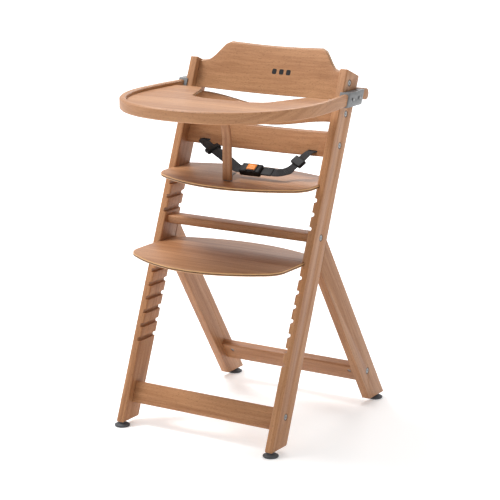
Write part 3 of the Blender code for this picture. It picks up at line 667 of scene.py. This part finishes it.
def box_block(name, middle_at, size, turn=None):
    """A block that a moulding starts from, its place in its mesh."""
    bare()
    bpy.ops.mesh.primitive_cube_add(size=1)
    piece = bpy.context.object
    piece.name = name
    turning = turn.to_4x4() if turn else Matrix()
    piece.data.transform(Matrix.Translation(Vector(middle_at)) @ turning @ Matrix.Diagonal((*size, 1)))
    return piece


def smoothed(piece, angle):
    pick(piece)
    bpy.ops.object.shade_smooth_by_angle(angle=radians(angle))
    return piece


def round_off(piece, width, segments=4, wanted=anywhere):
    pick(piece)
    bpy.ops.object.mode_set(mode="EDIT")
    select_edges(piece, wanted)
    bpy.ops.mesh.bevel(offset=width, segments=segments, affect="EDGES", clamp_overlap=True)
    bpy.ops.object.mode_set(mode="OBJECT")
    return smoothed(piece, 40)


def combine(piece, tool, operation):
    pick(piece)
    change = piece.modifiers.new(operation.lower(), "BOOLEAN")
    change.operation, change.solver, change.object = operation, "EXACT", tool
    bpy.ops.object.modifier_apply(modifier=change.name)
    bpy.data.objects.remove(tool)
    return piece


def make_harness():
    cloth = woven("black_webbing", (0.005, 0.005, 0.006), (0.022, 0.022, 0.026))
    grey_cloth = woven("grey_webbing", (0.10, 0.095, 0.09), (0.26, 0.25, 0.24))
    black = moulded("buckle_black", (0.008, 0.008, 0.009), 0.56)
    amber = moulded("button_amber", (0.85, 0.26, 0.02), 0.34, 900)
    body_low, body_high = (Vector(corner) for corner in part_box("buckle_body"))
    at = (body_low + body_high) / 2
    by, bz = at.y, at.z
    slat_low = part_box("lower_backrest")[0]
    z = slat_low[2] + 0.0135
    x = 0.153
    slat_front = by + 0.082
    behind = SLAT_RUN + 0.010
    left = webbing("left_lap_strap", [
        (-x, slat_front + behind, z + 0.001, 0), (-x, slat_front, z, 0),
        (-x + 0.004, slat_front - 0.010, z - 0.002, 0.1),
        (-0.732 * x, slat_front - 0.034, z - 0.012, 0.35), (-0.556 * x, slat_front - 0.050, z - 0.016, 0.5),
        (-0.294 * x, by + 0.016, bz + 0.014, 0.55), (-0.010, by + 0.001, bz + 0.001, 0.56),
        (0.0025, by, bz, 0.56),
    ], LAP_WIDTH, LAP_THICK, cloth)
    right = webbing("right_lap_strap", [
        (x, slat_front + behind, z + 0.001, 0), (x, slat_front, z, 0),
        (x - 0.004, slat_front - 0.012, z - 0.002, -0.1),
        (0.882 * x, slat_front - 0.036, z - 0.022, -0.35), (0.784 * x, slat_front - 0.052, z - 0.040, -0.4),
        (0.1131, by + 0.010, bz + 0.001, -0.5), (0.104, by, bz, -0.56), (0.089, by, bz, -0.56),
    ], LAP_WIDTH, LAP_THICK, cloth)
    for strap, node in ((left, "left_strap"), (right, "right_strap")):
        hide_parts(node)
        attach(strap, "frame")
    slot = strap_slot()
    seat_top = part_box("seat")[1][2]
    crotch = webbing("crotch_webbing", [
        (slot.x, slot.y - 0.001, seat_top - 0.009, 0), (slot.x, slot.y, seat_top - 0.001, 0),
        (-0.006, slot.y + 0.007, bz - 0.013, 0), (-0.008, slot.y + 0.017, bz - 0.009, 0),
        (-0.010, by - 0.018, bz - 0.008, 0),
    ], 0.022, 0.0020, grey_cloth)
    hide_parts("crotch_strap")
    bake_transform(crotch)
    make_buckle(at, black, amber)
    for label in SIDES.values():
        adjuster = refined(f"{label}_adjuster", [(0.0007, 3, anywhere)], smooth=40)
        dress(adjuster, black)


def make_buckle(at, black, amber):
    """A press-button buckle: a rounded shell with a raised collar round an amber button, and its tongue."""
    turn = Matrix.Rotation(radians(32), 3, "X")

    def on_shell(x, y, z):
        return at + turn @ Vector((x, y, z))

    shell = refined("buckle_body", [(0.0006, 3, anywhere)], smooth=42)
    dress(shell, black)
    for side in (-1, 1):
        for i in range(4):
            at_rib = on_shell(-0.022 + i * 0.0032, side * 0.0147, 0)
            rib = box_block("rib", at_rib, (0.0015, 0.0018, 0.0095), turn)
            round_off(rib, 0.0005, 2)
            combine(shell, rib, "UNION")
    collar = box_block("collar", on_shell(0.003, 0, 0.0089), (0.0300, 0.0240, 0.0022), turn)
    opening = box_block("opening", on_shell(0.003, 0, 0.0090), (0.0252, 0.0192, 0.0060), turn)
    round_off(collar, 0.0009, 3)
    combine(collar, opening, "DIFFERENCE")
    combine(shell, collar, "UNION")
    smoothed(shell, 42)
    button = refined("buckle_button", [(0.0005, 3, anywhere)], smooth=42)
    dish = box_block("dish", on_shell(0.003, 0, 0.0122), (0.0150, 0.0105, 0.0022), turn)
    round_off(dish, 0.0009, 4)
    combine(button, dish, "DIFFERENCE")
    smoothed(button, 42)
    dress(button, amber)
    tongue = refined("buckle_tongue", [(0.0006, 3, anywhere)], smooth=42)
    dress(tongue, black)


# ---------------------------------------------------------------- studio
def studio_air():
    """White air that falls off to grey in front and on the side away from the key light."""
    world = bpy.data.worlds.new("studio_air")
    world.use_nodes = True
    nodes, links = world.node_tree.nodes, world.node_tree.links
    place = nodes.new("ShaderNodeTexCoord")
    side = nodes.new("ShaderNodeVectorMath")
    side.operation = "DOT_PRODUCT"
    side.inputs[1].default_value = (0.60, -0.62, -0.15)
    fall = nodes.new("ShaderNodeMapRange")
    for socket, value in ((1, -0.35), (2, 0.70), (3, 1.0), (4, 0.20)):
        fall.inputs[socket].default_value = value
    links.new(place.outputs["Generated"], side.inputs[0])
    links.new(side.outputs["Value"], fall.inputs[0])
    links.new(fall.outputs[0], nodes["Background"].inputs[1])
    nodes["Background"].inputs[0].default_value = (1, 1, 1, 1)
    return world


def make_studio():
    bare()
    bpy.ops.mesh.primitive_plane_add(size=1)
    floor = bpy.context.object
    floor.name = "studio_floor"
    floor.data.transform(Matrix.Diagonal((60, 60, 1, 1)))
    paper = Finish("studio_paper", roughness=0.9)
    paper.give("Base Color", (0.95, 0.95, 0.95, 1))
    x, y, _ = paper.parts(paper.here())
    far = (x * x + y * y).eased(1.0, 9.0)
    paper.give("Emission Color", paper.mix(far, (0.30, 0.30, 0.30), (1.0, 1.0, 1.0)))
    paper.shader.inputs["Emission Strength"].default_value = 0.75
    dress(floor, paper.material)
    bpy.context.scene.world = studio_air()
    bpy.context.scene.view_settings.view_transform = "Standard"
    target = Vector((0, 0, 0.45))
    for name, place, size, power in (
        ("key", (-1.7, -0.35, 3.7), 1.3, 112),
        ("fill", (2.8, -2.2, 1.5), 2.2, 8),
        ("rim", (-0.6, 2.6, 2.4), 1.6, 30),
    ):
        lamp = bpy.data.lights.new(name, "AREA")
        lamp.shape, lamp.size, lamp.energy = "DISK", size, power
        light = bpy.data.objects.new(name, lamp)
        bpy.context.scene.collection.objects.link(light)
        light.location = place
        light.rotation_euler = (target - Vector(place)).to_track_quat("-Z", "Y").to_euler()
    turn, rise = radians(31.638), radians(13.717)
    look = Vector((-0.0093, 0.0402, 0.4133))
    away = Vector((sin(turn) * cos(rise), -cos(turn) * cos(rise), sin(rise)))
    lens = bpy.data.cameras.new("camera")
    lens.lens, lens.sensor_width = 134.86, 36
    camera = bpy.data.objects.new("camera", lens)
    bpy.context.scene.collection.objects.link(camera)
    camera.location = look + away * 4.6104
    camera.rotation_euler = (-away).to_track_quat("-Z", "Y").to_euler()
    bpy.context.scene.camera = camera


make_posts()
make_rails()
make_plates()
make_tray()
make_fixings()
make_harness()
make_studio()
